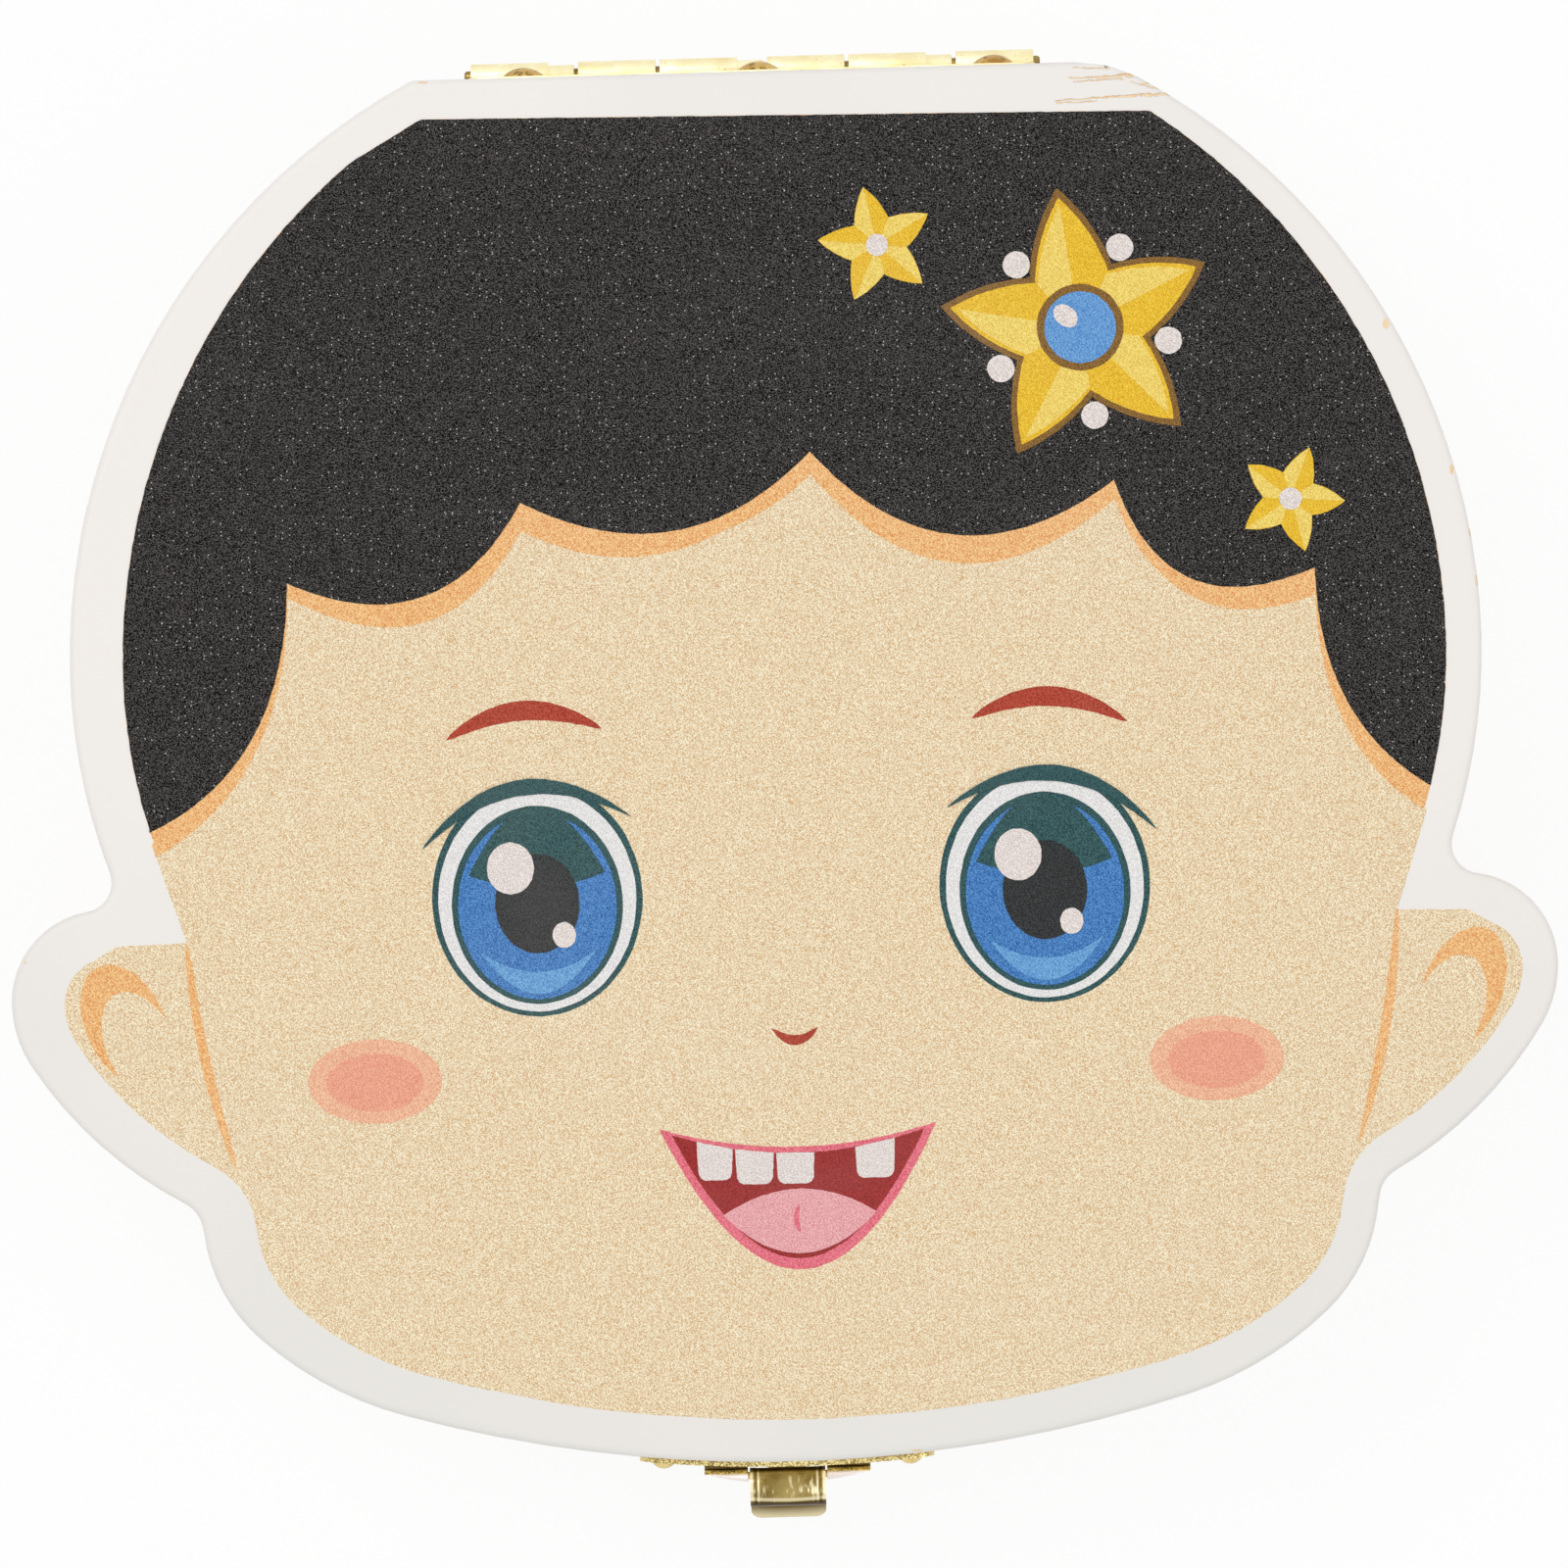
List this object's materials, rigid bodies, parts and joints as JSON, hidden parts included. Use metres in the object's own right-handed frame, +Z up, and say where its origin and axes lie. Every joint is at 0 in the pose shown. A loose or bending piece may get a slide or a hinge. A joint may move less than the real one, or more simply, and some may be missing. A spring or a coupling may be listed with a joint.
{
  "type": "baby tooth keepsake box",
  "caption": "Flat wooden milk-tooth box shaped as a child's head with ears, hinged lid, spring-style latch and an inner tray with tooth pockets.",
  "frame": {"origin": "on the table under the middle of the whole box, hinge barrel and latch included", "axes": "+X to the right seen from above with the chin nearest, +Y from the chin latch to the hinge, +Z up"},
  "size_m": [0.125, 0.1204, 0.03],
  "materials": {
    "painted_wood": "satin off-white paint on pale wood",
    "natural_wood": "bare sanded pale wood",
    "brass_plate": "pale satin brass plating"
  },
  "bodies": {
    "base": {"base_board": "painted_wood", "base_frame": "painted_wood", "tray_floor_board": "natural_wood", "tooth_pocket_board": "natural_wood", "hinge_base_leaf": "brass_plate", "hinge_pin": "brass_plate", "hinge_base_nails": "brass_plate", "latch_catch_plate": "brass_plate", "latch_catch_plate_nails": "brass_plate"},
    "lid": {"lid_face_board": "painted_wood", "lid_frame": "painted_wood", "lid_lining_board": "natural_wood", "hinge_lid_leaf": "brass_plate", "hinge_lid_nails": "brass_plate", "latch_lid_plate": "brass_plate", "latch_lid_plate_nails": "brass_plate", "latch_pivot_pin": "brass_plate"},
    "tongue": {"latch_tongue": "brass_plate"}
  },
  "joints": [
    {"name": "lid_hinge", "type": "hinge", "parent": "base", "child": "lid", "pos_m": [0, 0.05925, 0.015], "axis": [-1, 0, 0], "range_deg": [0, 165]},
    {"name": "tongue_pivot", "type": "hinge", "parent": "lid", "child": "tongue", "pos_m": [-0.0009, -0.0561, 0.0163], "axis": [-1, 0, 0], "range_deg": [-10, 95]}
  ]
}
